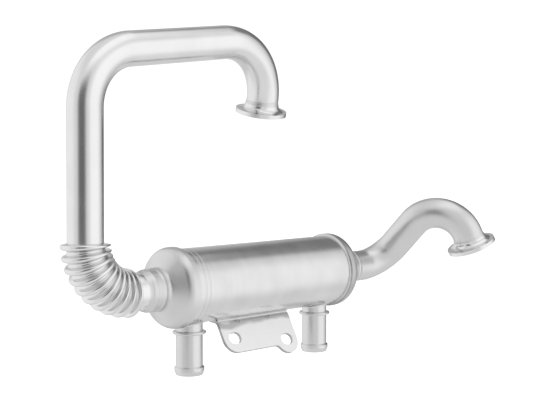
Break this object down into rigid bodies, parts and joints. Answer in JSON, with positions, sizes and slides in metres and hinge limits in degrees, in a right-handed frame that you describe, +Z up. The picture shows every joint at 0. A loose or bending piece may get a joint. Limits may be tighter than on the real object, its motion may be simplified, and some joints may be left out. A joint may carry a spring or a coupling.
{
  "type": "exhaust gas recirculation cooler",
  "caption": "Round steel exhaust gas cooler with domed ends, tube core, bent gas pipes, inlet bellows, clamp flanges, coolant hose nipples and a slotted bracket.",
  "frame": {"origin": "middle of the right bracket slot, on the back face of the bracket plate, which bolts on", "axes": "+X along the cooler shell from inlet to outlet, +Z up away from the coolant nipples, +Y toward the back"},
  "size_m": [0.3751, 0.1336, 0.2595],
  "materials": {
    "shell": "satin, brushed around the shell",
    "caps": "satin, pressed sheet",
    "core": "dull, drawn tube and plate",
    "nipples": "smooth, turned",
    "bracket": "smooth, pressed sheet",
    "pipes": "satin, drawn tube",
    "bellows": "satin, formed sheet",
    "flanges": "turned"
  },
  "bodies": {
    "root": {"cooler_shell": "shell", "inlet_cap": "caps", "outlet_cap": "caps", "inlet_tube_sheet": "core", "outlet_tube_sheet": "core", "core_tube_01": "core", "core_tube_02": "core", "core_tube_03": "core", "core_tube_04": "core", "core_tube_05": "core", "core_tube_06": "core", "core_tube_07": "core", "core_tube_08": "core", "core_tube_09": "core", "core_tube_10": "core", "core_tube_11": "core", "core_tube_12": "core", "core_tube_13": "core", "core_tube_14": "core", "core_tube_15": "core", "core_tube_16": "core", "core_tube_17": "core", "core_tube_18": "core", "core_tube_19": "core", "coolant_inlet_nipple": "nipples", "coolant_outlet_nipple": "nipples", "mounting_bracket": "bracket", "inlet_bellows": "bellows", "inlet_pipe": "pipes", "outlet_pipe": "pipes", "inlet_flange": "flanges", "outlet_flange": "flanges"}
  },
  "joints": []
}
